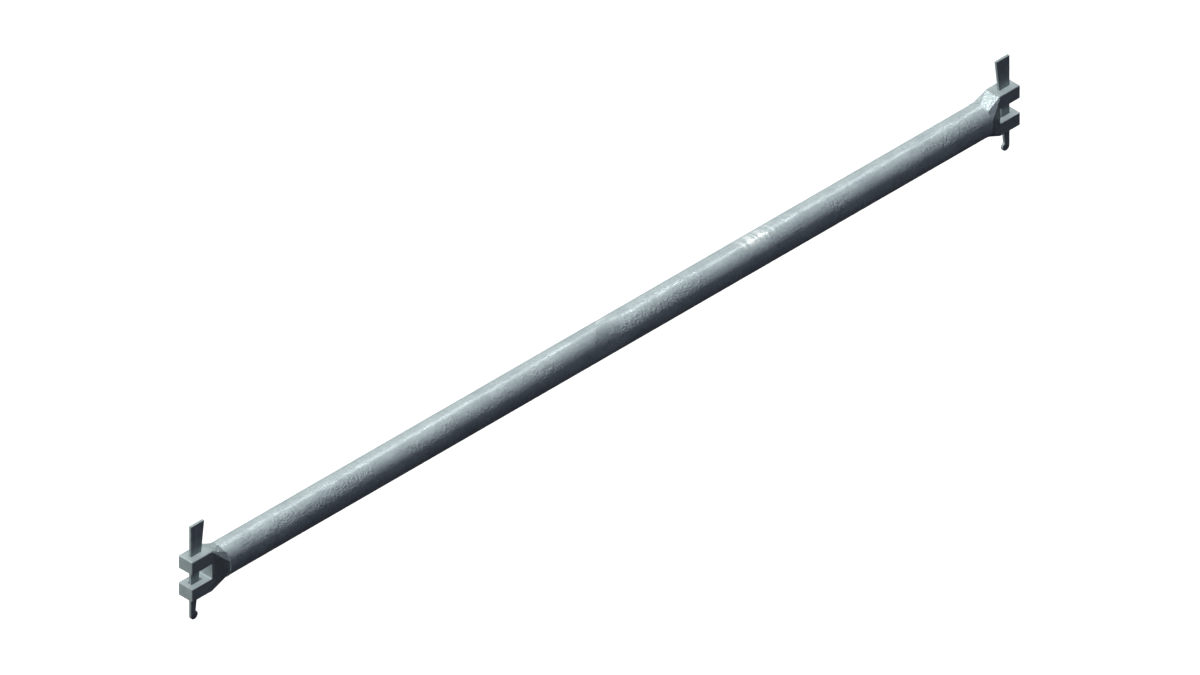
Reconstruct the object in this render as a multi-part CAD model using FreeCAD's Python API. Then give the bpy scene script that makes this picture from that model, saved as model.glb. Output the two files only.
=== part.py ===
import FreeCAD, Part
import math
import os

# Scaffold ledger: a round tube with a forked wedge head welded on each end.
# Frame: +X along the ledger, +Z up, origin on the tube's axis at mid-length. Millimetres.
# A head is drawn at the left end, with u as the distance from its end face towards the tube.

# Driving dimensions of the bay and the tube
bay_length = 1572.0
standard_diameter = 48.3
tube_diameter = 48.3
tube_wall = 3.2

# Driving dimensions of a head
head_length = 61.5
head_width = 26.0
jaw_thickness = 20.0
rosette_gap = 23.5
jaw_depth = 36.5
jaw_edge_chamfer = 1.0
gap_corner_radius = 1.5
neck_shoulder_angle = 36.0
neck_side_angle = 72.0
spigot_length = 15.0
spigot_chamfer = 1.5
spigot_clearance = 0.25
core_diameter = 30.0
core_floor = 15.0

# Driving dimensions of the weld bead round the joint of head and tube
weld_radius = 1.2
weld_proud = 0.6

# Driving dimensions of a wedge and the rivet in its toe
wedge_thickness = 4.0
wedge_length = 149.0
wedge_above_head = 46.75
wedge_top_width = 24.4
wedge_taper_angle = 6.6
wedge_setback = 8.7
toe_radius = 6.3
rivet_diameter = 5.0
rivet_head_diameter = 8.0
rivet_head_height = 1.0

# Clearances of a wedge in its slots
slot_end_clearance = 0.3
slot_side_clearance = 0.4
rivet_side_clearance = 0.5
slot_corner_radius = 0.8

# Sizes that follow from the driving dimensions
overall_length = bay_length - standard_diameter
half_length = overall_length / 2
tube_radius = tube_diameter / 2
bore_radius = tube_radius - tube_wall
tube_length = overall_length - 2 * head_length
head_height = 2 * jaw_thickness + rosette_gap
half_width = head_width / 2
half_height = head_height / 2
half_gap = rosette_gap / 2
wedge_top = half_height + wedge_above_head
wedge_slope = math.tan(math.radians(wedge_taper_angle))
toe_u = wedge_setback + toe_radius
toe_z = wedge_top - wedge_length + toe_radius
overcut = 1.0


def point(u, y, z):
    return FreeCAD.Vector(u, y, z)


def wedge_width(z):
    """Width of the wedge at height z: its outer edge is upright, its inner edge leans."""
    return wedge_top_width - wedge_slope * (wedge_top - z)


def flat_face(points):
    return Part.Face(Part.makePolygon(points + points[:1]))


def upright_edges(shape):
    """Straight edges along Z."""
    return [edge for edge in shape.Edges if edge.BoundBox.XLength + edge.BoundBox.YLength < 1e-6]


# The tube
def ledger_tube():
    start = point(head_length, 0, 0)
    along = point(1, 0, 0)
    outside = Part.makeCylinder(tube_radius, tube_length, start, along)
    bore = Part.makeCylinder(bore_radius, tube_length, start, along)
    return outside.cut(bore)


# The neck of a head, flat facets from the jaws' rectangle to a polygon on the tube's circle
def tube_point(angle, side, end):
    """Corner of the polygon on the tube's circle, by its angle from the crown or the underside."""
    turn = math.radians(angle)
    return point(head_length, side * tube_radius * math.sin(turn), end * tube_radius * math.cos(turn))


def jaw_corner(side, end):
    """The two ends of the jaws' chamfered corner where the neck starts: one above, one beside."""
    above = point(jaw_depth, side * (half_width - jaw_edge_chamfer), end * half_height)
    beside = point(jaw_depth, side * half_width, end * (half_height - jaw_edge_chamfer))
    return above, beside


def neck():
    corners = {(side, end): jaw_corner(side, end) for side in (1, -1) for end in (1, -1)}
    shoulder = {key: tube_point(neck_shoulder_angle, *key) for key in corners}
    flank = {key: tube_point(neck_side_angle, *key) for key in corners}
    crown = {end: tube_point(0, 1, end) for end in (1, -1)}
    faces = []
    for key, (above, beside) in corners.items():
        faces.append(flat_face([above, crown[key[1]], shoulder[key]]))
        faces.append(flat_face([above, shoulder[key], beside]))
        faces.append(flat_face([beside, shoulder[key], flank[key]]))
    for end in (1, -1):
        faces.append(flat_face([corners[1, end][0], corners[-1, end][0], crown[end]]))
    for side in (1, -1):
        faces.append(flat_face([corners[side, 1][1], flank[side, 1], flank[side, -1], corners[side, -1][1]]))
    jaw_outline = []
    tube_outline = []
    for side, end in [(1, 1), (1, -1), (-1, -1), (-1, 1)]:
        turn = 1 if side * end > 0 else -1
        jaw_outline += corners[side, end][::turn]
        tube_outline += [crown[end]] if turn > 0 else []
        tube_outline += [shoulder[side, end], flank[side, end]][::turn]
    faces.append(flat_face(jaw_outline))
    faces.append(flat_face(tube_outline))
    shell = Part.makeShell(faces)
    shell.sewShape()
    solid = Part.makeSolid(shell)
    return solid if solid.Volume > 0 else solid.reversed()


# The jaws, the gap between them and the slots that the wedge runs in
def jaw_block():
    block = Part.makeBox(jaw_depth, head_width, head_height, point(0, -half_width, -half_height))
    broken = [edge for edge in block.Edges if edge.BoundBox.XMin < jaw_depth / 2]
    return block.makeChamfer(jaw_edge_chamfer, broken)


def gap_cut():
    cut = Part.makeBox(
        jaw_depth + overcut, head_width + 2 * overcut, rosette_gap,
        point(-overcut, -half_width - overcut, -half_gap),
    )
    inner = [
        edge for edge in cut.Edges
        if edge.BoundBox.XMin > jaw_depth / 2 and edge.BoundBox.YLength > head_width
    ]
    return cut.makeFillet(gap_corner_radius, inner)


def slot_cut(width, bottom):
    start = wedge_setback - slot_end_clearance
    end = wedge_setback + wedge_width(half_height) + slot_end_clearance
    cut = Part.makeBox(
        end - start, width, jaw_thickness + 2 * overcut,
        point(start, -width / 2, bottom - overcut),
    )
    return cut.makeFillet(slot_corner_radius, upright_edges(cut))


def head():
    along = point(1, 0, 0)
    spigot = Part.makeCylinder(bore_radius - spigot_clearance, spigot_length, point(head_length, 0, 0), along)
    rim = [edge for edge in spigot.Edges if edge.BoundBox.XMin > head_length + spigot_length / 2]
    spigot = spigot.makeChamfer(spigot_chamfer, rim)
    core_start = jaw_depth + core_floor
    core_length = head_length + spigot_length - core_start
    core = Part.makeCylinder(core_diameter / 2, core_length + overcut, point(core_start, 0, 0), along)
    upper_slot = slot_cut(wedge_thickness + 2 * slot_side_clearance, half_gap)
    rivet_span = wedge_thickness + 2 * rivet_head_height
    lower_slot = slot_cut(rivet_span + 2 * rivet_side_clearance, -half_height)
    solid = jaw_block().fuse([neck(), spigot])
    return solid.cut([gap_cut(), upper_slot, lower_slot, core]).removeSplitter()


# The weld bead, a ring in the notch between neck and tube
def weld(head_solid, tube_solid):
    ring_radius = tube_radius + weld_proud - weld_radius
    ring = Part.makeTorus(ring_radius, weld_radius, point(head_length, 0, 0), point(1, 0, 0))
    return ring.cut([head_solid, tube_solid])


# The wedge, a flat plate with an upright outer edge, a leaning inner edge and a round toe
def wedge():
    back = wedge_thickness / 2
    lean_at_toe = wedge_width(toe_z) - toe_radius
    lean_length = math.hypot(1, wedge_slope)
    offset = lean_at_toe / lean_length
    reach = math.sqrt(toe_radius ** 2 - offset ** 2)
    join_u = toe_u + (offset + reach * wedge_slope) / lean_length
    join_z = toe_z + (reach - offset * wedge_slope) / lean_length
    outer_top = point(wedge_setback, -back, wedge_top)
    inner_top = point(wedge_setback + wedge_top_width, -back, wedge_top)
    join = point(join_u, -back, join_z)
    toe_bottom = point(toe_u, -back, toe_z - toe_radius)
    toe_side = point(wedge_setback, -back, toe_z)
    outline = Part.Wire([
        Part.LineSegment(outer_top, inner_top).toShape(),
        Part.LineSegment(inner_top, join).toShape(),
        Part.Arc(join, toe_bottom, toe_side).toShape(),
        Part.LineSegment(toe_side, outer_top).toShape(),
    ])
    plate = Part.Face(outline).extrude(point(0, wedge_thickness, 0))
    hole = Part.makeCylinder(rivet_diameter / 2, wedge_thickness, point(toe_u, -back, toe_z), point(0, 1, 0))
    return plate.cut(hole)


# The rivet that keeps the wedge under the upper jaw: a shank with a low dome on each face
def wedge_rivet():
    back = wedge_thickness / 2
    shank_radius = rivet_diameter / 2
    rim = rivet_head_diameter / 2
    crown = back + rivet_head_height
    dome_radius = (rim ** 2 + rivet_head_height ** 2) / (2 * rivet_head_height)
    half_turn = math.asin(rim / dome_radius) / 2
    mid_r = dome_radius * math.sin(half_turn)
    mid_y = crown - dome_radius * (1 - math.cos(half_turn))
    profile = Part.Wire([
        Part.Arc(point(0, -crown, 0), point(mid_r, -mid_y, 0), point(rim, -back, 0)).toShape(),
        Part.LineSegment(point(rim, -back, 0), point(shank_radius, -back, 0)).toShape(),
        Part.LineSegment(point(shank_radius, -back, 0), point(shank_radius, back, 0)).toShape(),
        Part.LineSegment(point(shank_radius, back, 0), point(rim, back, 0)).toShape(),
        Part.Arc(point(rim, back, 0), point(mid_r, mid_y, 0), point(0, crown, 0)).toShape(),
        Part.LineSegment(point(0, crown, 0), point(0, -crown, 0)).toShape(),
    ])
    solid = Part.Face(profile).revolve(point(0, 0, 0), point(0, 1, 0), 360)
    solid.translate(point(toe_u, 0, toe_z))
    return solid


# Both ends are the same set of pieces, the right one turned half a turn about Z
def at_left(shape):
    placed = shape.copy()
    placed.translate(point(-half_length, 0, 0))
    return placed


def at_right(shape):
    placed = at_left(shape)
    placed.rotate(point(0, 0, 0), point(0, 0, 1), 180)
    return placed


tube_solid = ledger_tube()
head_solid = head()
end_pieces = {
    "head": head_solid,
    "weld": weld(head_solid, tube_solid),
    "wedge": wedge(),
    "wedge_rivet": wedge_rivet(),
}
nodes = {"ledger_tube": at_left(tube_solid)}
for name, shape in end_pieces.items():
    nodes["left_" + name] = at_left(shape)
    nodes["right_" + name] = at_right(shape)

os.makedirs("parts", exist_ok=True)
for name, shape in nodes.items():
    shape.exportStep(f"parts/{name}.step")
    print(name, len(shape.Solids), shape.isValid(), round(shape.Volume, 1))
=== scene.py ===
# %% [markdown]
# # Scaffold ledger
# A ledger is the horizontal bar of a modular scaffold: a galvanised tube with a forked head welded on each
# end. A head slides over a rosette on the upright, and its wedge is hammered down to lock it.
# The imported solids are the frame, in metres: +X along the tube, +Z up, origin at mid-length.
# This script leaves their sizes alone and gives them their finish, a camera and light.

# %% Load the frame
import math

import bmesh
import bpy
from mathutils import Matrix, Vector


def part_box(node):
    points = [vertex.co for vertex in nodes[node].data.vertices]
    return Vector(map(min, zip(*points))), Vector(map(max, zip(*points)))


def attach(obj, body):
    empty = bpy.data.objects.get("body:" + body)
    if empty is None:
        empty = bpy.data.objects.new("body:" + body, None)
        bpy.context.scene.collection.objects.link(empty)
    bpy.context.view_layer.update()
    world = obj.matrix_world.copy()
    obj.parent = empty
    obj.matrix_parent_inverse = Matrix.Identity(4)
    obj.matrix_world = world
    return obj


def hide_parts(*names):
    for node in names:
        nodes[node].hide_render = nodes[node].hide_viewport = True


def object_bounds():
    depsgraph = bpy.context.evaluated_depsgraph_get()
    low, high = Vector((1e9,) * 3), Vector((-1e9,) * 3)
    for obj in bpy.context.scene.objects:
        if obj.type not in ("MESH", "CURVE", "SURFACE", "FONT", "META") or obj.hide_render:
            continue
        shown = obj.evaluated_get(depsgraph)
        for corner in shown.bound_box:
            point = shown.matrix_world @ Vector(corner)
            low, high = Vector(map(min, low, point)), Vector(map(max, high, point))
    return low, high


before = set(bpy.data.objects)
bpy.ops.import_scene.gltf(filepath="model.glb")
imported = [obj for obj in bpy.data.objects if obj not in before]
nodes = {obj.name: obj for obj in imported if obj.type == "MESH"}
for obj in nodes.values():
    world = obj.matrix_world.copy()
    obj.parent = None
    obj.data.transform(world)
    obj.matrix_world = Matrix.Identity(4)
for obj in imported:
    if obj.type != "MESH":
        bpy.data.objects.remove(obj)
cad_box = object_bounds()
scene = bpy.context.scene
MM = 0.001
SIDES = ("left", "right")
print("nodes:", ", ".join(sorted(nodes)))

# %% [markdown]
# ## Camera
# The picture is an isometric view: a parallel projection from the front left and above, in which all three
# axes are shortened alike. An orthographic camera gives that, where a long lens would only come close. Its
# place follows from two measures in the picture: the scale, and where the frame's origin appears.

# %% Camera
PICTURE_WIDTH, PICTURE_HEIGHT = 1200, 675
PIXELS_PER_METRE = 768.5
ORIGIN_PIXEL_X, ORIGIN_PIXEL_Y = 599.3, 340.0
CAMERA_AZIMUTH = math.radians(-45)
CAMERA_ELEVATION = math.asin(1 / math.sqrt(3))
CAMERA_DISTANCE = 3.0

towards_camera = Vector((
    math.sin(CAMERA_AZIMUTH) * math.cos(CAMERA_ELEVATION),
    -math.cos(CAMERA_AZIMUTH) * math.cos(CAMERA_ELEVATION),
    math.sin(CAMERA_ELEVATION),
))
picture_right = Vector((math.cos(CAMERA_AZIMUTH), math.sin(CAMERA_AZIMUTH), 0))
picture_up = towards_camera.cross(picture_right)
right_of_origin = (PICTURE_WIDTH / 2 - ORIGIN_PIXEL_X) / PIXELS_PER_METRE
above_origin = (ORIGIN_PIXEL_Y - PICTURE_HEIGHT / 2) / PIXELS_PER_METRE
aim = picture_right * right_of_origin + picture_up * above_origin

camera = bpy.data.objects.new("camera", bpy.data.cameras.new("camera"))
camera.data.type = "ORTHO"
camera.data.ortho_scale = PICTURE_WIDTH / PIXELS_PER_METRE
camera.location = aim + towards_camera * CAMERA_DISTANCE
camera.rotation_mode = "QUATERNION"
camera.rotation_quaternion = (-towards_camera).to_track_quat("-Z", "Y")
scene.collection.objects.link(camera)
scene.camera = camera
scene.view_settings.view_transform = "Standard"
print("camera aims at", [round(c, 4) for c in aim], "frame width", round(camera.data.ortho_scale, 4))

# %% [markdown]
# ## Colours and nodes
# Colours are written as sRGB hex, as they are read off a picture, and the shaders want linear numbers, so
# one function turns them. One more adds a node with its settings and links. Pattern sizes are written in
# millimetres: a texture's scale is how many of its features fit in a metre.

# %% Helpers for colours and nodes
def linear(hex_colour):
    """Linear RGBA of an sRGB colour such as #A0B0C0."""
    channels = [int(hex_colour[i:i + 2], 16) / 255 for i in (1, 3, 5)]
    curved = [c / 12.92 if c <= 0.04045 else ((c + 0.055) / 1.055) ** 2.4 for c in channels]
    return (*curved, 1.0)


def add_node(tree, kind, inputs=None, **settings):
    """Add a node: settings are its properties; an input is a value, or the node or socket that feeds it."""
    made = tree.nodes.new(kind)
    for name, value in settings.items():
        setattr(made, name, value)
    for key, value in (inputs or {}).items():
        if isinstance(value, bpy.types.Node):
            value = value.outputs[0]
        if isinstance(value, bpy.types.NodeSocket):
            tree.links.new(value, made.inputs[key])
        else:
            made.inputs[key].default_value = value
    return made


def per_metre(feature_mm):
    """Texture scale for features of this size."""
    return 1 / (feature_mm * MM)


def new_material(name):
    """An empty node material and its tree."""
    material = bpy.data.materials.new(name)
    material.use_nodes = True
    material.node_tree.nodes.clear()
    return material, material.node_tree


print("sample grey #808080 is", round(linear("#808080")[0], 4), "in linear light")

# %% [markdown]
# ## The room
# The picture's background is white. The world gives that: it is white to camera, glossy and transmission
# rays, so the zinc mirrors the white room too. To diffuse rays it is dimmer, because white all round would
# wash out the shading. The Light Path node tells the kinds of ray apart.

# %% White room
ROOM_FILL = 0.2
WHITE = linear("#FFFFFF")


def white_room_rays(tree):
    """1 for the rays that should see a white room, 0 for the others."""
    path = add_node(tree, "ShaderNodeLightPath")
    eye = {0: path.outputs["Is Camera Ray"], 1: path.outputs["Is Glossy Ray"]}
    eye_and_mirror = add_node(tree, "ShaderNodeMath", eye, operation="MAXIMUM")
    clear = {0: eye_and_mirror, 1: path.outputs["Is Transmission Ray"]}
    return add_node(tree, "ShaderNodeMath", clear, operation="MAXIMUM")


world = bpy.data.worlds.new("white_room")
world.use_nodes = True
world.node_tree.nodes.clear()
scene.world = world
strength = add_node(world.node_tree, "ShaderNodeMapRange", {
    "Value": white_room_rays(world.node_tree), "To Min": ROOM_FILL, "To Max": 1.0,
})
sky = add_node(world.node_tree, "ShaderNodeBackground", {"Color": WHITE, "Strength": strength})
add_node(world.node_tree, "ShaderNodeOutputWorld", {"Surface": sky})
print("room is white to the eye and", ROOM_FILL, "to diffuse light")

# %% [markdown]
# ## The floor
# The ledger hangs over a floor of matt white paint, far enough below that its shadow falls outside the
# picture. Matt paint has no highlight, so the eye sees an even white. Under these lamps plain paint would
# come out light grey, so some glow lifts it to white, for the same rays as in the room.

# %% Floor
FLOOR_HEIGHT = -1.1
FLOOR_HALF_SIZE = 60.0
FLOOR_GLOW = 0.55
FLOOR_PAINT = linear("#E6E6E4")


def sheet_mesh(name, corners):
    """A stage sheet from rows of points."""
    columns = len(corners[0])
    points = [point for row in corners for point in row]
    faces = [
        (i * columns + j, i * columns + j + 1, (i + 1) * columns + j + 1, (i + 1) * columns + j)
        for i in range(len(corners) - 1) for j in range(columns - 1)
    ]
    mesh = bpy.data.meshes.new(name)
    mesh.from_pydata(points, [], faces)
    piece = bpy.data.objects.new(name, mesh)
    scene.collection.objects.link(piece)
    return piece


floor_paint, tree = new_material("white_floor_paint")
glow = add_node(tree, "ShaderNodeMapRange", {
    "Value": white_room_rays(tree), "To Min": 0.0, "To Max": FLOOR_GLOW,
})
lit = add_node(tree, "ShaderNodeBsdfDiffuse", {"Color": FLOOR_PAINT})
shine = add_node(tree, "ShaderNodeEmission", {"Color": WHITE, "Strength": glow})
floor_shader = add_node(tree, "ShaderNodeAddShader", {0: lit, 1: shine})
add_node(tree, "ShaderNodeOutputMaterial", {"Surface": floor_shader})
floor_ends = (-FLOOR_HALF_SIZE, FLOOR_HALF_SIZE)
floor = sheet_mesh("floor", [[(x, y, FLOOR_HEIGHT) for x in floor_ends] for y in floor_ends])
floor.data.materials.append(floor_paint)
print("floor at", FLOOR_HEIGHT, "m")

# %% [markdown]
# ## Light
# The picture's light comes from high up, from behind and from the left, and it is the same along the whole
# tube. A sun lamp is such a light, because its rays are parallel, and a small disc keeps it a little soft. A
# weak second one fills in from the right. The thin bright line along the tube is a long strip lamp that the
# zinc mirrors. The picture shows no shadow of one piece on another, so the main lamp and the strip cast none.

# %% Lamps
SUN_DISTANCE = 3.0  # only where a sun lamp's symbol stands
TOP_FROM = Vector((-0.47, 0.337, 0.816))
TOP_WIDTH = math.radians(8)
TOP_LIGHT = 1.8
SIDE_FROM = Vector((0.90, 0.30, 0.30))
SIDE_WIDTH = math.radians(50)
SIDE_LIGHT = 0.18
SIDE_TINT = linear("#F4F7FF")
STRIP_DISTANCE = 2.2
STRIP_ANGLE = math.radians(66)  # up from straight behind the tube
STRIP_LENGTH, STRIP_WIDTH = 12.0, 0.12
STRIP_POWER = 61.0
STRIP_SHIFT = Vector((-2.6, 0, 0))


def add_lamp(name, kind, place, facing):
    """A lamp at a place, shining from the direction it faces."""
    lamp = bpy.data.objects.new(name, bpy.data.lights.new(name, kind))
    lamp.location = place
    lamp.rotation_mode = "QUATERNION"
    lamp.rotation_quaternion = facing.to_track_quat("Z", "Y")
    lamp.visible_camera = False
    scene.collection.objects.link(lamp)
    return lamp.data


top_lamp = add_lamp("top_lamp", "SUN", TOP_FROM * SUN_DISTANCE, TOP_FROM)
top_lamp.energy = TOP_LIGHT
top_lamp.angle = TOP_WIDTH
top_lamp.use_shadow = False
side_lamp = add_lamp("side_lamp", "SUN", SIDE_FROM * SUN_DISTANCE, SIDE_FROM)
side_lamp.energy = SIDE_LIGHT
side_lamp.angle = SIDE_WIDTH
side_lamp.color = SIDE_TINT[:3]
strip_from = Vector((0, math.cos(STRIP_ANGLE), math.sin(STRIP_ANGLE)))
strip_lamp = add_lamp("strip_lamp", "AREA", strip_from * STRIP_DISTANCE + STRIP_SHIFT, strip_from)
strip_lamp.shape = "RECTANGLE"
strip_lamp.size = STRIP_LENGTH
strip_lamp.size_y = STRIP_WIDTH
strip_lamp.energy = STRIP_POWER
strip_lamp.use_shadow = False
print("top lamp", TOP_LIGHT, "side lamp", SIDE_LIGHT, "strip lamp", STRIP_POWER)

# %% [markdown]
# ## Black cloth
# The side of the tube that faces the viewer is nearly black in the picture. On zinc that means that something
# dark stands there, and a studio hangs up black cloth for it. Here a trough of cloth runs along the tube,
# under it and up in front. Cloth has no gloss, so all it gives the eye is its tone in the zinc. It glows in
# that tone by itself, because a lit cloth would change with every lamp. The camera doesn't see it.

# %% Trough of black cloth
CLOTH_HALF_LENGTH = 8.0
TROUGH_RADIUS = 0.95
# The two edges are turns about the tube, from straight below towards the front.
TROUGH_BACK_EDGE = math.radians(-47)
TROUGH_FRONT_EDGE = math.radians(152.7)
TROUGH_STEPS = 48
# Heights in metres, and the tone at each.
TROUGH_TONES = ((-0.26, "#303037"), (0.24, "#34353D"), (0.49, "#5C5E6A"), (0.84, "#A4A8BC"))


def cloth_glow(name, axis, tones):
    """Glowing cloth, shaded along an axis through the tones at their places."""
    material, tree = new_material(name)
    place = add_node(tree, "ShaderNodeTexCoord").outputs["Object"]
    axes = add_node(tree, "ShaderNodeSeparateXYZ", {0: place})
    start, end = tones[0][0], tones[-1][0]
    climb = add_node(tree, "ShaderNodeMapRange", {
        "Value": axes.outputs[axis], "From Min": start, "From Max": end,
    })
    shade = add_node(tree, "ShaderNodeValToRGB", {"Fac": climb})
    stops = shade.color_ramp.elements
    for at, _ in tones[1:-1]:
        stops.new((at - start) / (end - start))
    for stop, (_, colour) in zip(stops, tones):
        stop.color = linear(colour)
    glow = add_node(tree, "ShaderNodeEmission", {"Color": shade})
    add_node(tree, "ShaderNodeOutputMaterial", {"Surface": glow})
    return material


def hang_cloth(name, rows, material):
    """A cloth on the stage that the camera doesn't see and that casts no shadow."""
    cloth = sheet_mesh(name, rows)
    cloth.visible_camera = False
    cloth.visible_shadow = False
    cloth.data.materials.append(material)


trough = []
for step in range(TROUGH_STEPS + 1):
    turn = TROUGH_BACK_EDGE + (TROUGH_FRONT_EDGE - TROUGH_BACK_EDGE) * step / TROUGH_STEPS
    across, height = -TROUGH_RADIUS * math.sin(turn), -TROUGH_RADIUS * math.cos(turn)
    trough.append([(-CLOTH_HALF_LENGTH, across, height), (CLOTH_HALF_LENGTH, across, height)])
hang_cloth("trough_cloth", trough, cloth_glow("black_cloth", "Z", TROUGH_TONES))
print("trough of black cloth", TROUGH_RADIUS, "m from the tube")

# %% [markdown]
# ## Grey and pale cloth
# Two more cloths stand where the trough doesn't reach. The viewer looks from the left, so gloss on facets and
# in the gaps shows what is at the right end, and a grey cloth there keeps it from being white. The upper edge
# of the tube mirrors what is low behind it, and a pale cloth there takes the edge off the white too.

# %% Cloths at the right end and behind
END_FRONT, END_BACK, END_TOP = -4.5, 6.8, 7.5
END_TONES = ((2.8, "#30343C"), (8.0, "#7A7F88"))
BACK_LOW, BACK_TOP = -0.65, 0.2
BACK_TONES = ((BACK_LOW, "#B4BCBD"), (0.46, "#C4CCCD"))

end_rows = [
    [(CLOTH_HALF_LENGTH, y, FLOOR_HEIGHT), (CLOTH_HALF_LENGTH, y, END_TOP)] for y in (END_FRONT, END_BACK)
]
hang_cloth("end_cloth", end_rows, cloth_glow("grey_cloth", "Y", END_TONES))
back_rows = [
    [(-CLOTH_HALF_LENGTH, TROUGH_RADIUS, z), (CLOTH_HALF_LENGTH, TROUGH_RADIUS, z)]
    for z in (BACK_LOW, BACK_TOP)
]
hang_cloth("back_cloth", back_rows, cloth_glow("pale_cloth", "Z", BACK_TONES))
print("end cloth at", CLOTH_HALF_LENGTH, "m, back cloth at", TROUGH_RADIUS, "m")

# %% [markdown]
# ## Hot-dip zinc
# Every piece but the rivets was dipped in molten zinc. Fresh zinc is bright and crystalline. After some
# months outdoors a dull film has grown on it, grey with a touch of green and blue. Two shaders could be mixed
# for that, but the Metallic value of one does it too: here it is the share of bare metal that still shows
# through the film. A thick film gives the eye a soft satin grey, and a thin one mirrors more of the room.

# %% Values and steps that all zinc finishes share
ZINC_ROUGHNESS = 0.50
GLOSS_SPREAD = 0.05  # how far the roughness strays from place to place
FINE_DETAIL, CLOUD_DETAIL = 2.0, 4.0


def stretch(along_mm, across_mm):
    """Mapping scale for a pattern with features this long along X and this wide across it."""
    return (per_metre(along_mm), per_metre(across_mm), per_metre(across_mm))


def close_metal(tree, colour, bare_metal, roughness, normal):
    """End a finish with its surface: bare_metal is the share that shows through the dull film."""
    surface = add_node(tree, "ShaderNodeBsdfPrincipled", {
        "Base Color": colour, "Metallic": bare_metal, "Roughness": roughness, "Normal": normal,
    })
    add_node(tree, "ShaderNodeOutputMaterial", {"Surface": surface})


def give_finish(piece, material):
    """Put one finish on a whole piece."""
    piece.data.materials.clear()
    piece.data.materials.append(material)


print("zinc roughness", ZINC_ROUGHNESS, "give or take", GLOSS_SPREAD)

# %% [markdown]
# ## Streaks on the tube
# The tube came out of the bath turning and draining, so its coating has fine streaks round the tube, strong
# in some patches and faint in others, and it is smoother along the crown, where the zinc ran off. Noise that
# is stretched round the tube gives the streaks, a plain noise adds grain, and a slow one makes the patches.

# %% Streaks and grain
# Real streaks are about 0.5 mm apart and the grain is finer still. Both are too fine to show from here, so
# they are drawn coarser, and their height is drawn larger with them.
STREAK_ALONG, STREAK_AROUND = 3.4, 7.0
STREAK_HEIGHT = 1.5 * MM
GRAIN = 2.4
GRAIN_SHARE = 0.7
UNEVEN_MEAN = (1 + GRAIN_SHARE) / 2  # a noise has a mean of one half
PATCH_ALONG, PATCH_AROUND = 50.0, 36.0
PATCH_DETAIL = 1.0
PATCH_FAINT, PATCH_FULL = 0.44, 0.64
PATCH_FLOOR = 0.25
CROWN_LOW, CROWN_HIGH = 18.5 * MM, 23.8 * MM
CROWN_SHARE = 0.3


def tube_streaks(tree, place):
    """Height of the streaks, and the bare pattern that tints the zinc too."""
    streak_place = add_node(tree, "ShaderNodeMapping", {
        "Vector": place, "Scale": stretch(STREAK_ALONG, STREAK_AROUND),
    })
    streaks = add_node(tree, "ShaderNodeTexNoise", {
        "Vector": streak_place, "Scale": 1.0, "Detail": FINE_DETAIL,
    })
    grain = add_node(tree, "ShaderNodeTexNoise", {
        "Vector": place, "Scale": per_metre(GRAIN), "Detail": FINE_DETAIL,
    })
    uneven = add_node(tree, "ShaderNodeMath", {
        0: grain, 1: GRAIN_SHARE, 2: streaks,
    }, operation="MULTIPLY_ADD")
    patch_place = add_node(tree, "ShaderNodeMapping", {
        "Vector": place, "Scale": stretch(PATCH_ALONG, PATCH_AROUND),
    })
    patch_noise = add_node(tree, "ShaderNodeTexNoise", {
        "Vector": patch_place, "Scale": 1.0, "Detail": PATCH_DETAIL,
    })
    patches = add_node(tree, "ShaderNodeMapRange", {
        "Value": patch_noise, "From Min": PATCH_FAINT, "From Max": PATCH_FULL,
        "To Min": PATCH_FLOOR, "To Max": 1.0,
    }, interpolation_type="SMOOTHSTEP")
    axes = add_node(tree, "ShaderNodeSeparateXYZ", {0: place})
    drained = add_node(tree, "ShaderNodeMapRange", {
        "Value": axes.outputs["Z"], "From Min": CROWN_LOW, "From Max": CROWN_HIGH,
        "To Min": 1.0, "To Max": CROWN_SHARE,
    }, interpolation_type="SMOOTHSTEP")
    strength = add_node(tree, "ShaderNodeMath", {0: patches, 1: drained}, operation="MULTIPLY")
    above_mean = add_node(tree, "ShaderNodeMath", {0: uneven, 1: UNEVEN_MEAN}, operation="SUBTRACT")
    height = add_node(tree, "ShaderNodeMath", {0: above_mean, 1: strength}, operation="MULTIPLY")
    return height, uneven


print("streaks", STREAK_ALONG, "mm apart, stronger in patches of", PATCH_ALONG, "mm")

# %% [markdown]
# ## The crease at mid-length
# In the picture the bright line wanders along the tube and breaks at mid-length: the zinc lies thicker there
# and leans a little, and a slanting crease ends it. Beside the crease the crest is painted pale, as a
# highlight.
# The outline of the tube stays straight, so this is relief in the coating and not a bend. A height that grows
# across the tube makes the surface lean, and steps along X change how much. All of it fades out below and at
# the back.

# %% Crease and lean of the coating
# Each step of the lean: where it begins and ends along X, in millimetres, and the change in slope.
LEAN_STEPS = (
    (-130, -60, 0.09), (-8, 5, 0.03), (10, 45, -0.17),
    (60, 110, 0.05), (130, 180, -0.04), (280, 340, 0.04),
)
CREASE_SLANT = (1.0, -1.0, 0.0)
CREASE_START, CREASE_END = -6.5 * MM, 24.0 * MM
CREASE_DROP = 1.6 * MM
FRONT_LOW, FRONT_HIGH = 2.0 * MM, 18.0 * MM
# Where the crest beside the crease is painted pale as a highlight, and how strongly.
SHEEN_LOW, SHEEN_HIGH = 22.0 * MM, 23.6 * MM
SHEEN_SHARE = 0.75


def back_from_up(degrees):
    """Direction across the tube, turned back from straight up."""
    turn = math.radians(degrees)
    return (0.0, math.sin(turn), math.cos(turn))


LEAN_ACROSS = back_from_up(75)
FRONT_FACING = back_from_up(-30)
# The direction on the crest that carries the painted highlight.
SHEEN_FACING = back_from_up(27)


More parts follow.
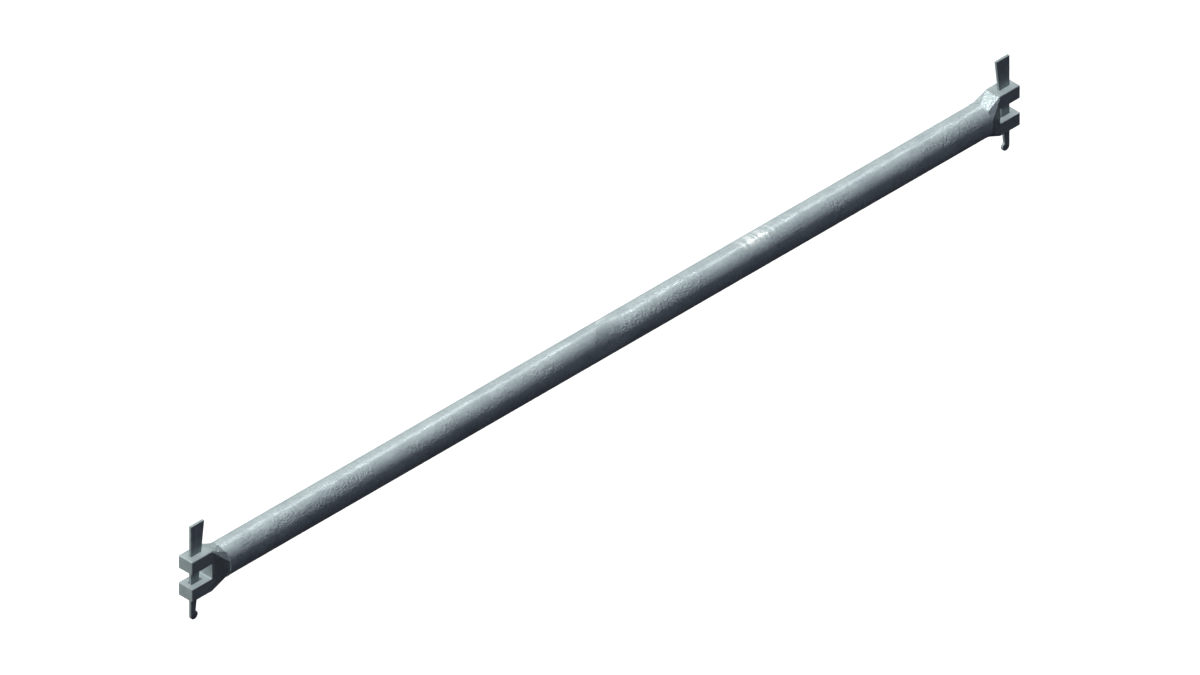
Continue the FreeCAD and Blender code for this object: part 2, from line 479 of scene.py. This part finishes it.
def tube_crease(tree, place):
    """Height in metres of the crease and the lean, and how much painted highlight lies on the crest."""
    axes = add_node(tree, "ShaderNodeSeparateXYZ", {0: place})
    slant = add_node(tree, "ShaderNodeVectorMath", {0: place, 1: CREASE_SLANT}, operation="DOT_PRODUCT")
    slack = add_node(tree, "ShaderNodeMapRange", {
        "Value": slant.outputs["Value"], "From Min": CREASE_START, "From Max": CREASE_END,
        "To Min": 1.0, "To Max": 0.0,
    })
    easing = add_node(tree, "ShaderNodeMath", {0: slack, 1: slack}, operation="MULTIPLY")
    height = add_node(tree, "ShaderNodeMath", {0: easing, 1: CREASE_DROP}, operation="MULTIPLY")
    across = add_node(tree, "ShaderNodeVectorMath", {0: place, 1: LEAN_ACROSS}, operation="DOT_PRODUCT")
    for begin, end, change in LEAN_STEPS:
        lean = add_node(tree, "ShaderNodeMapRange", {
            "Value": axes.outputs["X"], "From Min": begin * MM, "From Max": end * MM, "To Max": change,
        }, interpolation_type="SMOOTHSTEP")
        height = add_node(tree, "ShaderNodeMath", {
            0: across.outputs["Value"], 1: lean, 2: height,
        }, operation="MULTIPLY_ADD")
    facing = add_node(tree, "ShaderNodeVectorMath", {0: place, 1: FRONT_FACING}, operation="DOT_PRODUCT")
    front = add_node(tree, "ShaderNodeMapRange", {
        "Value": facing.outputs["Value"], "From Min": FRONT_LOW, "From Max": FRONT_HIGH,
    }, interpolation_type="SMOOTHSTEP")
    height = add_node(tree, "ShaderNodeMath", {0: height, 1: front}, operation="MULTIPLY")
    # Painted highlight: a pale patch on the crest, just past the crease.
    crest = add_node(tree, "ShaderNodeVectorMath", {0: place, 1: SHEEN_FACING}, operation="DOT_PRODUCT")
    on_crest = add_node(tree, "ShaderNodeMapRange", {
        "Value": crest.outputs["Value"], "From Min": SHEEN_LOW, "From Max": SHEEN_HIGH,
        "To Max": SHEEN_SHARE,
    }, interpolation_type="SMOOTHSTEP")
    begun = add_node(tree, "ShaderNodeMapRange", {
        "Value": slant.outputs["Value"], "From Min": CREASE_START - MM, "From Max": CREASE_START + MM,
    })
    beside = add_node(tree, "ShaderNodeMath", {0: begun, 1: slack}, operation="MULTIPLY")
    painted_crest_sheen = add_node(tree, "ShaderNodeMath", {0: beside, 1: on_crest}, operation="MULTIPLY")
    return height, painted_crest_sheen


print("crease", CREASE_DROP / MM, "mm deep, lean in", len(LEAN_STEPS), "steps")

# %% [markdown]
# ## Rubbed strokes with painted highlight
# Further right something has rubbed the film off the crown in a few strokes across the tube. Their near-white
# tone is partly bare zinc and partly painted highlight. They could be painted as an image, but a noise that
# is long across the tube and short along it gives such strokes without one. It counts only near one place on
# the crown.

# %% Rubbed strokes on the crown, painted pale as a highlight
RUB_CENTRE, RUB_CORE, RUB_REACH = 288.0 * MM, 14.0 * MM, 44.0 * MM
RUB_LOW, RUB_HIGH = 19.0 * MM, 23.4 * MM
RUB_ALONG, RUB_AROUND = 4.5, 45.0
RUB_FAINT, RUB_FULL = 0.42, 0.66
RUB_HEIGHT = 0.3 * MM


def rubbed_strokes_and_sheen(tree, place):
    """How much each place is rubbed bare and painted pale as a highlight, from 0 to 1."""
    axes = add_node(tree, "ShaderNodeSeparateXYZ", {0: place})
    offset = add_node(tree, "ShaderNodeMath", {0: axes.outputs["X"], 1: RUB_CENTRE}, operation="SUBTRACT")
    apart = add_node(tree, "ShaderNodeMath", {0: offset}, operation="ABSOLUTE")
    near = add_node(tree, "ShaderNodeMapRange", {
        "Value": apart, "From Min": RUB_CORE, "From Max": RUB_REACH, "To Min": 1.0, "To Max": 0.0,
    }, interpolation_type="SMOOTHSTEP")
    crown = add_node(tree, "ShaderNodeMapRange", {
        "Value": axes.outputs["Z"], "From Min": RUB_LOW, "From Max": RUB_HIGH,
    }, interpolation_type="SMOOTHSTEP")
    there = add_node(tree, "ShaderNodeMath", {0: near, 1: crown}, operation="MULTIPLY")
    rub_place = add_node(tree, "ShaderNodeMapping", {
        "Vector": place, "Scale": stretch(RUB_ALONG, RUB_AROUND),
    })
    rub_noise = add_node(tree, "ShaderNodeTexNoise", {
        "Vector": rub_place, "Scale": 1.0, "Detail": FINE_DETAIL,
    })
    strokes = add_node(tree, "ShaderNodeMapRange", {
        "Value": rub_noise, "From Min": RUB_FAINT, "From Max": RUB_FULL,
    })
    return add_node(tree, "ShaderNodeMath", {0: strokes, 1: there}, operation="MULTIPLY")


print("strokes rubbed at", RUB_CENTRE, "m")

# %% [markdown]
# ## The tube's relief
# Waves, marks and streaks are three heights of very different size. One Bump node could take their sum. A
# chain of three, in which each bends the normal of the one before, lets each keep its own height.

# %% Relief of the tube's coating
WAVE_ALONG, WAVE_AROUND = 80.0, 28.0
WAVE_HEIGHT = 0.35 * MM
WAVE_DETAIL = 0.0
IN_METRES = 1.0  # the marks' height is in metres already


def tube_relief(tree, place):
    """The tube's bent normal, the pattern of its streaks, and where it shows wear and painted highlight."""
    wave_place = add_node(tree, "ShaderNodeMapping", {
        "Vector": place, "Scale": stretch(WAVE_ALONG, WAVE_AROUND),
    })
    waves = add_node(tree, "ShaderNodeTexNoise", {
        "Vector": wave_place, "Scale": 1.0, "Detail": WAVE_DETAIL,
    })
    crease, painted_crest_sheen = tube_crease(tree, place)
    rub_and_sheen = rubbed_strokes_and_sheen(tree, place)
    marks = add_node(tree, "ShaderNodeMath", {0: rub_and_sheen, 1: RUB_HEIGHT, 2: crease}, operation="MULTIPLY_ADD")
    streaks, uneven = tube_streaks(tree, place)
    broad = add_node(tree, "ShaderNodeBump", {"Height": waves, "Distance": WAVE_HEIGHT})
    marked = add_node(tree, "ShaderNodeBump", {"Height": marks, "Distance": IN_METRES, "Normal": broad})
    fine = add_node(tree, "ShaderNodeBump", {
        "Height": streaks, "Distance": STREAK_HEIGHT, "Normal": marked,
    })
    # Wear and painted highlight: the rubbed strokes and the crest patch, as one mask.
    wear_and_sheen = add_node(tree, "ShaderNodeMath", {0: rub_and_sheen, 1: painted_crest_sheen}, operation="MAXIMUM")
    return fine, uneven, wear_and_sheen


print("waves", WAVE_ALONG, "mm long on the tube")

# %% [markdown]
# ## The tube's colour
# Up close, zinc shows its crystals, the spangle: patches of a centimetre or so that differ a little in tone
# and gloss, softened here by weather. Cell noise gives the patches, a cloudy noise breaks them up, and the
# streaks tint the surface slightly too, because dirt stays in the low places.

# %% Zinc on the tube
BLOTCH, SPANGLE = 34.0, 11.0
SPANGLE_SHARE, STREAK_SHARE = 0.2, 0.9
MOTTLE_LOW, MOTTLE_HIGH = 0.85, 1.6
SPANGLE_LOW, SPANGLE_HIGH = 0.35, 0.85
TUBE_DARK, TUBE_PALE = linear("#9AA8AC"), linear("#B9C7C8")
# Near-white tone of the rubbed strokes and the crest patch: partly bare zinc, partly painted highlight.
WORN_AND_SHEEN_PALE = linear("#E8F0EF")
TUBE_METAL, WORN_AND_SHEEN_METAL = 0.22, 0.60
TUBE_ROUGHNESS = 0.30
# A Mix node has a set of sockets for each kind of data. These are the ones for colours.
MIX_SHARE, MIX_FIRST, MIX_SECOND, MIX_RESULT = 0, 6, 7, 2


def tube_zinc():
    """Weathered zinc: satin grey with faint crystals, a line of light that the streaks break up, and pale
    marks of wear and painted highlight.
    """
    material, tree = new_material("hot_dip_zinc_on_tube")
    place = add_node(tree, "ShaderNodeTexCoord").outputs["Object"]
    normal, uneven, wear_and_sheen = tube_relief(tree, place)
    clouds = add_node(tree, "ShaderNodeTexNoise", {
        "Vector": place, "Scale": per_metre(BLOTCH), "Detail": CLOUD_DETAIL,
    })
    cells = add_node(tree, "ShaderNodeTexVoronoi", {"Vector": place, "Scale": per_metre(SPANGLE)})
    cell = add_node(tree, "ShaderNodeSeparateColor", {0: cells.outputs["Color"]})
    spangle = add_node(tree, "ShaderNodeMath", {
        0: cell, 1: SPANGLE_SHARE, 2: clouds,
    }, operation="MULTIPLY_ADD")
    mottle = add_node(tree, "ShaderNodeMath", {
        0: uneven, 1: STREAK_SHARE, 2: spangle,
    }, operation="MULTIPLY_ADD")
    tint = add_node(tree, "ShaderNodeMapRange", {
        "Value": mottle, "From Min": MOTTLE_LOW, "From Max": MOTTLE_HIGH,
    })
    zinc = add_node(tree, "ShaderNodeMix", {
        MIX_SHARE: tint, MIX_FIRST: TUBE_DARK, MIX_SECOND: TUBE_PALE,
    }, data_type="RGBA")
    # The strokes and the crest turn near white: painted highlight over the zinc's own tone.
    colour = add_node(tree, "ShaderNodeMix", {
        MIX_SHARE: wear_and_sheen, MIX_FIRST: zinc.outputs[MIX_RESULT], MIX_SECOND: WORN_AND_SHEEN_PALE,
    }, data_type="RGBA")
    gloss = add_node(tree, "ShaderNodeMapRange", {
        "Value": spangle, "From Min": SPANGLE_LOW, "From Max": SPANGLE_HIGH,
        "To Min": TUBE_ROUGHNESS + GLOSS_SPREAD, "To Max": TUBE_ROUGHNESS - GLOSS_SPREAD,
    })
    bare_metal = add_node(tree, "ShaderNodeMapRange", {
        "Value": wear_and_sheen, "To Min": TUBE_METAL, "To Max": WORN_AND_SHEEN_METAL,
    })
    close_metal(tree, colour.outputs[MIX_RESULT], bare_metal, gloss, normal)
    return material


give_finish(nodes["ledger_tube"], tube_zinc())
print("tube finish: spangle", SPANGLE, "mm, bare metal", TUBE_METAL)

# %% [markdown]
# ## Edges of the heads and wedges
# A solid's edges are knife sharp, and nothing that was cast, sheared or dipped is. Rounding each edge by hand
# would be slow, and a shader trick would vanish in the exported mesh. So each head and wedge is a copy of its
# solid: the flat faces are joined up, and a bevel modifier rounds the edges that are sharper than a limit.

# %% Rounded copies of solids
SAME_POINT = 0.001 * MM
FLAT_LIMIT = math.radians(1)
SHARP_LIMIT = math.radians(12)
BEVEL_SEGMENTS = 3


def rounded_copy(node_name, piece_name, edge_radius, body):
    """Stand-in for a solid with rounded edges, riding on its body."""
    shape = bmesh.new()
    shape.from_mesh(nodes[node_name].data)
    bmesh.ops.remove_doubles(shape, verts=shape.verts, dist=SAME_POINT)
    bmesh.ops.dissolve_limit(shape, angle_limit=FLAT_LIMIT, verts=shape.verts, edges=shape.edges)
    mesh = bpy.data.meshes.new(piece_name)
    shape.to_mesh(mesh)
    shape.free()
    if "custom_normal" in mesh.attributes:
        mesh.attributes.remove(mesh.attributes["custom_normal"])
    mesh.shade_smooth()
    piece = bpy.data.objects.new(piece_name, mesh)
    scene.collection.objects.link(piece)
    bevel = piece.modifiers.new("rounded_edges", "BEVEL")
    bevel.width = edge_radius
    bevel.segments = BEVEL_SEGMENTS
    bevel.limit_method = "ANGLE"
    bevel.angle_limit = SHARP_LIMIT
    bevel.use_clamp_overlap = False
    bevel.harden_normals = True
    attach(piece, body)
    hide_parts(node_name)
    return piece


print("edges sharper than", round(math.degrees(SHARP_LIMIT)), "degrees get", BEVEL_SEGMENTS, "facets")

# %% [markdown]
# ## The heads
# A head is a steel casting: two jaws, and a neck of flat facets that runs into the round of the tube. The
# neck keeps the grain of the sand mould under the zinc. Its film is thinner, so it is glossier and each facet
# mirrors its own part of the room. The jaws, which have to fit a rosette, are smoother, and matt. Two
# materials would need a seam in the mesh, so one does both: it changes along X where the jaws begin.

# %% Zinc on the castings, and the heads
HEAD_EDGE_RADIUS = 0.5 * MM
JAW_DEPTH = 36.5 * MM
JAW_START = cad_box[1].x - JAW_DEPTH
NECK_END, NECK_FULL = JAW_START - MM, JAW_START - 2 * MM
# Moulding sand has grains of about 0.3 mm, too fine to show from here, so they are drawn ten times coarser.
CAST_GRAIN = 3.0
CAST_DETAIL, CAST_DETAIL_ROUGHNESS = 3.0, 0.6
CAST_HEIGHT = 1.2 * MM
JAW_GRAIN_SHARE = 0.15
CAST_BLOTCH = 14.0
CAST_GRAIN_SHARE = 0.5
CAST_TINT_LOW, CAST_TINT_HIGH = 0.35, 0.85
JAW_DARK, JAW_PALE = linear("#95A2A3"), linear("#ADBABB")
NECK_DARK, NECK_PALE = linear("#8C999A"), linear("#B2BFC0")
JAW_METAL, NECK_METAL = 0.20, 0.74
NECK_ROUGHNESS = 0.42


def cast_zinc():
    """Zinc on sand-cast steel: matt grey jaws, and a speckled neck with a glint on some facets."""
    material, tree = new_material("hot_dip_zinc_on_casting")
    place = add_node(tree, "ShaderNodeTexCoord").outputs["Object"]
    grain = add_node(tree, "ShaderNodeTexNoise", {
        "Vector": place, "Scale": per_metre(CAST_GRAIN),
        "Detail": CAST_DETAIL, "Roughness": CAST_DETAIL_ROUGHNESS,
    })
    along = add_node(tree, "ShaderNodeSeparateXYZ", {0: place})
    reach = add_node(tree, "ShaderNodeMath", {0: along.outputs["X"]}, operation="ABSOLUTE")
    is_neck = add_node(tree, "ShaderNodeMapRange", {
        "Value": reach, "From Min": NECK_END, "From Max": NECK_FULL,
    })
    grain_share = add_node(tree, "ShaderNodeMapRange", {
        "Value": is_neck, "To Min": JAW_GRAIN_SHARE, "To Max": 1.0,
    })
    height = add_node(tree, "ShaderNodeMath", {0: grain, 1: grain_share}, operation="MULTIPLY")
    skin = add_node(tree, "ShaderNodeBump", {"Height": height, "Distance": CAST_HEIGHT})
    clouds = add_node(tree, "ShaderNodeTexNoise", {
        "Vector": place, "Scale": per_metre(CAST_BLOTCH), "Detail": CLOUD_DETAIL,
    })
    speckle = add_node(tree, "ShaderNodeMath", {
        0: height, 1: CAST_GRAIN_SHARE, 2: clouds,
    }, operation="MULTIPLY_ADD")
    tint = add_node(tree, "ShaderNodeMapRange", {
        "Value": speckle, "From Min": CAST_TINT_LOW, "From Max": CAST_TINT_HIGH,
    })
    jaw = add_node(tree, "ShaderNodeMix", {
        MIX_SHARE: tint, MIX_FIRST: JAW_DARK, MIX_SECOND: JAW_PALE,
    }, data_type="RGBA")
    neck = add_node(tree, "ShaderNodeMix", {
        MIX_SHARE: tint, MIX_FIRST: NECK_DARK, MIX_SECOND: NECK_PALE,
    }, data_type="RGBA")
    colour = add_node(tree, "ShaderNodeMix", {
        MIX_SHARE: is_neck, MIX_FIRST: jaw.outputs[MIX_RESULT], MIX_SECOND: neck.outputs[MIX_RESULT],
    }, data_type="RGBA")
    gloss = add_node(tree, "ShaderNodeMapRange", {
        "Value": is_neck, "To Min": ZINC_ROUGHNESS, "To Max": NECK_ROUGHNESS,
    })
    bare_metal = add_node(tree, "ShaderNodeMapRange", {
        "Value": is_neck, "To Min": JAW_METAL, "To Max": NECK_METAL,
    })
    close_metal(tree, colour.outputs[MIX_RESULT], bare_metal, gloss, skin)
    return material


cast = cast_zinc()
for side in SIDES:
    head = rounded_copy(
        f"{side}_head", f"{side}_head_casting", HEAD_EDGE_RADIUS, "ledger",
    )
    give_finish(head, cast)
    print(head.name, "from", len(head.data.polygons), "faces")

# %% [markdown]
# ## The wedges
# A wedge is cut from rolled flat bar, so its faces have faint lines along its length, and its sheared edges
# are only just broken. A noise that is stretched along Z draws the lines, where an image would need the
# faces unwrapped. The film is as thick as on the jaws, so the wedge is as matt.

# %% Zinc on the wedges
WEDGE_EDGE_RADIUS = 0.4 * MM
# Roll lines are about 0.2 mm wide, too fine to show from here, so they are drawn coarser.
ROLL_LINE, ROLL_LENGTH = 1.6, 40.0
ROLL_HEIGHT = 0.25 * MM
LINE_SHARE = 0.5
WEDGE_TINT_LOW, WEDGE_TINT_HIGH = 0.5, 1.0
CLOUD_LOW, CLOUD_HIGH = 0.3, 0.7
WEDGE_DARK, WEDGE_PALE = linear("#8D9A9C"), linear("#A4B1B2")
WEDGE_METAL = 0.20


def wedge_zinc():
    """Zinc on rolled bar: an even, matt grey with faint lines along the wedge."""
    material, tree = new_material("hot_dip_zinc_on_rolled_bar")
    place = add_node(tree, "ShaderNodeTexCoord").outputs["Object"]
    line_scale = (per_metre(ROLL_LINE), per_metre(ROLL_LINE), per_metre(ROLL_LENGTH))
    line_place = add_node(tree, "ShaderNodeMapping", {"Vector": place, "Scale": line_scale})
    lines = add_node(tree, "ShaderNodeTexNoise", {
        "Vector": line_place, "Scale": 1.0, "Detail": FINE_DETAIL,
    })
    skin = add_node(tree, "ShaderNodeBump", {"Height": lines, "Distance": ROLL_HEIGHT})
    clouds = add_node(tree, "ShaderNodeTexNoise", {
        "Vector": place, "Scale": per_metre(CAST_BLOTCH), "Detail": CLOUD_DETAIL,
    })
    mottle = add_node(tree, "ShaderNodeMath", {
        0: lines, 1: LINE_SHARE, 2: clouds,
    }, operation="MULTIPLY_ADD")
    tint = add_node(tree, "ShaderNodeMapRange", {
        "Value": mottle, "From Min": WEDGE_TINT_LOW, "From Max": WEDGE_TINT_HIGH,
    })
    colour = add_node(tree, "ShaderNodeMix", {
        MIX_SHARE: tint, MIX_FIRST: WEDGE_DARK, MIX_SECOND: WEDGE_PALE,
    }, data_type="RGBA")
    gloss = add_node(tree, "ShaderNodeMapRange", {
        "Value": clouds, "From Min": CLOUD_LOW, "From Max": CLOUD_HIGH,
        "To Min": ZINC_ROUGHNESS + GLOSS_SPREAD, "To Max": ZINC_ROUGHNESS - GLOSS_SPREAD,
    })
    close_metal(tree, colour.outputs[MIX_RESULT], WEDGE_METAL, gloss, skin)
    return material


bar = wedge_zinc()
for side in SIDES:
    wedge = rounded_copy(
        f"{side}_wedge", f"{side}_wedge_plate", WEDGE_EDGE_RADIUS, f"{side}_wedge_set",
    )
    give_finish(wedge, bar)
    print(wedge.name, "from", len(wedge.data.polygons), "faces")

# %% [markdown]
# ## The weld beads
# The head is welded to the tube all the way round with one small bead. A bead is a row of frozen ripples,
# each a shallow crescent, so a smooth ring would look moulded. Here the ring is drawn point by point: the
# section is a circle, and the radius of that circle rises and falls in a saw-tooth along the joint.

# %% Weld beads
WELD_RADIUS = 1.2 * MM
RIPPLE_PITCH = 2.4 * MM
RIPPLE_DEPTH = 0.14 * MM
RIPPLE_BOW = 0.35  # how far a crescent's middle is from its tips along the joint, in ripples
RIPPLE_STEPS = 7
BEAD_STEPS = 14


def weld_bead(side):
    """One rippled ring in place of the plain one, riding on the ledger."""
    low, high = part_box(f"{side}_weld")
    ring_radius = high.y - WELD_RADIUS
    joint = (low.x + high.x) / 2
    ripples = round(2 * math.pi * ring_radius / RIPPLE_PITCH)
    steps = ripples * RIPPLE_STEPS
    points = []
    faces = []
    for i in range(steps):
        turn = 2 * math.pi * i / steps
        ahead = (i + 1) % steps
        for j in range(BEAD_STEPS):
            lean = 2 * math.pi * j / BEAD_STEPS
            crescent = (i / RIPPLE_STEPS + RIPPLE_BOW * math.cos(lean)) % 1.0
            radius = WELD_RADIUS - RIPPLE_DEPTH * crescent
            out = ring_radius + radius * math.cos(lean)
            points.append((joint + radius * math.sin(lean), out * math.sin(turn), out * math.cos(turn)))
            beside = (j + 1) % BEAD_STEPS
            corners = ((i, j), (i, beside), (ahead, beside), (ahead, j))
            faces.append([ring * BEAD_STEPS + point for ring, point in corners])
    mesh = bpy.data.meshes.new(f"{side}_weld_bead")
    mesh.from_pydata(points, [], faces)
    mesh.shade_smooth()
    bead = bpy.data.objects.new(f"{side}_weld_bead", mesh)
    scene.collection.objects.link(bead)
    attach(bead, "ledger")
    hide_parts(f"{side}_weld")
    return bead


beads = [weld_bead(side) for side in SIDES]
for bead in beads:
    print(bead.name, len(bead.data.polygons), "faces")

# %% [markdown]
# ## Zinc on the welds
# The zinc follows the ripples and lies thin on them, so a weld is about as bare as the neck beside it. The
# ripples are in the mesh, and the material only adds grain.

# %% Finish of the welds
# The real grain is finer than 0.1 mm, too fine to show, so it is drawn coarser.
WELD_GRAIN = 0.9
WELD_GRAIN_HEIGHT = 0.12 * MM
WELD_CLOUD_DETAIL = 3.0
WELD_DARK, WELD_PALE = linear("#94A1A3"), linear("#B4C0C0")


def weld_zinc():
    """Zinc on a weld: a grey glint along each ripple."""
    material, tree = new_material("hot_dip_zinc_on_weld")
    place = add_node(tree, "ShaderNodeTexCoord").outputs["Object"]
    grain = add_node(tree, "ShaderNodeTexNoise", {
        "Vector": place, "Scale": per_metre(WELD_GRAIN), "Detail": FINE_DETAIL,
    })
    skin = add_node(tree, "ShaderNodeBump", {"Height": grain, "Distance": WELD_GRAIN_HEIGHT})
    clouds = add_node(tree, "ShaderNodeTexNoise", {
        "Vector": place, "Scale": per_metre(CAST_BLOTCH), "Detail": WELD_CLOUD_DETAIL,
    })
    tint = add_node(tree, "ShaderNodeMapRange", {
        "Value": clouds, "From Min": CLOUD_LOW, "From Max": CLOUD_HIGH,
    })
    colour = add_node(tree, "ShaderNodeMix", {
        MIX_SHARE: tint, MIX_FIRST: WELD_DARK, MIX_SECOND: WELD_PALE,
    }, data_type="RGBA")
    gloss = add_node(tree, "ShaderNodeMapRange", {
        "Value": grain, "To Min": ZINC_ROUGHNESS + GLOSS_SPREAD, "To Max": ZINC_ROUGHNESS - GLOSS_SPREAD,
    })
    close_metal(tree, colour.outputs[MIX_RESULT], NECK_METAL, gloss, skin)
    return material


weld = weld_zinc()
for bead in beads:
    give_finish(bead, weld)
print("welds finished:", len(beads))

# %% [markdown]
# ## The rivets
# A low rivet through each wedge's toe keeps the wedge from being lost. It is electroplated, so it is smoother
# and brighter than the dipped pieces. Its solid is right as it is, and only gets its finish.

# %% Plated rivets
PLATE_METAL = 0.85
PLATE_ROUGHNESS = 0.40
# The grain of plating can't be seen with the bare eye, so it is drawn much coarser.
RIVET_GRAIN = 1.2
RIVET_GRAIN_HEIGHT = 0.06 * MM
RIVET_DARK, RIVET_PALE = linear("#A3AFB1"), linear("#BBC5C6")


def plated_steel():
    """Zinc-plated steel: a clean, pale metal with a soft highlight."""
    material, tree = new_material("zinc_plated_rivet_steel")
    place = add_node(tree, "ShaderNodeTexCoord").outputs["Object"]
    grain = add_node(tree, "ShaderNodeTexNoise", {
        "Vector": place, "Scale": per_metre(RIVET_GRAIN), "Detail": FINE_DETAIL,
    })
    skin = add_node(tree, "ShaderNodeBump", {"Height": grain, "Distance": RIVET_GRAIN_HEIGHT})
    colour = add_node(tree, "ShaderNodeMix", {
        MIX_SHARE: grain, MIX_FIRST: RIVET_DARK, MIX_SECOND: RIVET_PALE,
    }, data_type="RGBA")
    gloss = add_node(tree, "ShaderNodeMapRange", {
        "Value": grain, "To Min": PLATE_ROUGHNESS + GLOSS_SPREAD, "To Max": PLATE_ROUGHNESS - GLOSS_SPREAD,
    })
    close_metal(tree, colour.outputs[MIX_RESULT], PLATE_METAL, gloss, skin)
    return material


plated = plated_steel()
for side in SIDES:
    give_finish(nodes[f"{side}_wedge_rivet"], plated)
print("rivets finished:", len(SIDES))
